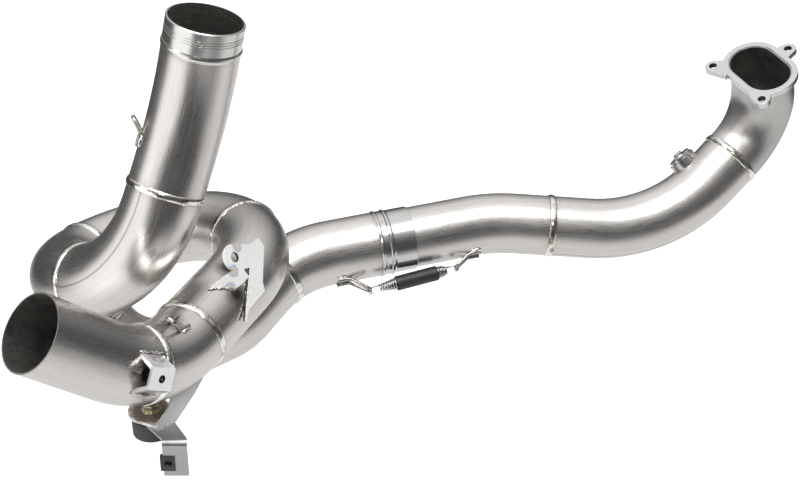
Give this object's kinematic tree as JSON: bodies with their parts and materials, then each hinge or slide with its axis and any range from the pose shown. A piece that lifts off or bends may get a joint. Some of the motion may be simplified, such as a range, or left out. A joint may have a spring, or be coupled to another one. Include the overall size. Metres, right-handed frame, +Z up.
{
  "type": "motorcycle exhaust header",
  "caption": "Two-into-one motorcycle exhaust header with a looped, mandrel-bent collector, a port flange, a sprung slip joint and welded brackets.",
  "frame": {"origin": "centre of the front port flange's bolt circle, on its gasket face", "axes": "+X towards the front of the motorcycle, +Y away from the side that shows in the picture, +Z up"},
  "size_m": [0.6565, 0.4362, 0.3333],
  "materials": {
    "titanium_tube": "brushed titanium tube with faint tan and blue heat tint beside the welds",
    "machined_flange": "fine machined face with satin lustre",
    "machined_steel": "turned stainless steel",
    "hook_wire": "bright drawn wire, browned at the weld feet",
    "spring_wire": "bright stainless spring wire",
    "silicone_sleeve": "smooth black silicone",
    "polished_bracket": "bright sheet with blue and straw heat tint at the welds",
    "gold_zinc": "yellow zinc plating",
    "rubber": "dull moulded rubber",
    "clip_sheet": "satin folded sheet",
    "black_clip": "black phosphate spring steel"
  },
  "bodies": {
    "root": {"port_flange": "machined_flange", "port_bend": "titanium_tube", "front_bend": "titanium_tube", "sensor_bung": "machined_steel", "sensor_plug": "machined_steel", "front_tube": "titanium_tube", "slip_socket": "titanium_tube", "cross_bend": "titanium_tube", "under_bend": "titanium_tube", "collector": "titanium_tube", "back_tube": "titanium_tube", "crown_bend": "titanium_tube", "outlet_elbow": "titanium_tube", "outlet_bend": "titanium_tube", "inlet_collar": "machined_flange", "inlet_tube": "titanium_tube", "rear_bend": "titanium_tube", "inlet_hook": "hook_wire", "elbow_hook": "hook_wire", "slip_hook_front": "hook_wire", "slip_hook_rear": "hook_wire", "joint_spring": "spring_wire", "spring_sleeve": "silicone_sleeve", "gusset_bracket": "polished_bracket", "nut_bracket": "polished_bracket", "weld_nut": "machined_steel", "hanger_strap": "polished_bracket", "mount_stud": "machined_steel", "mount_washer": "gold_zinc", "mount_nut": "gold_zinc", "rubber_mount": "rubber", "mount_insert": "machined_steel", "clip_bracket": "clip_sheet", "clip_nut": "black_clip"}
  },
  "joints": []
}
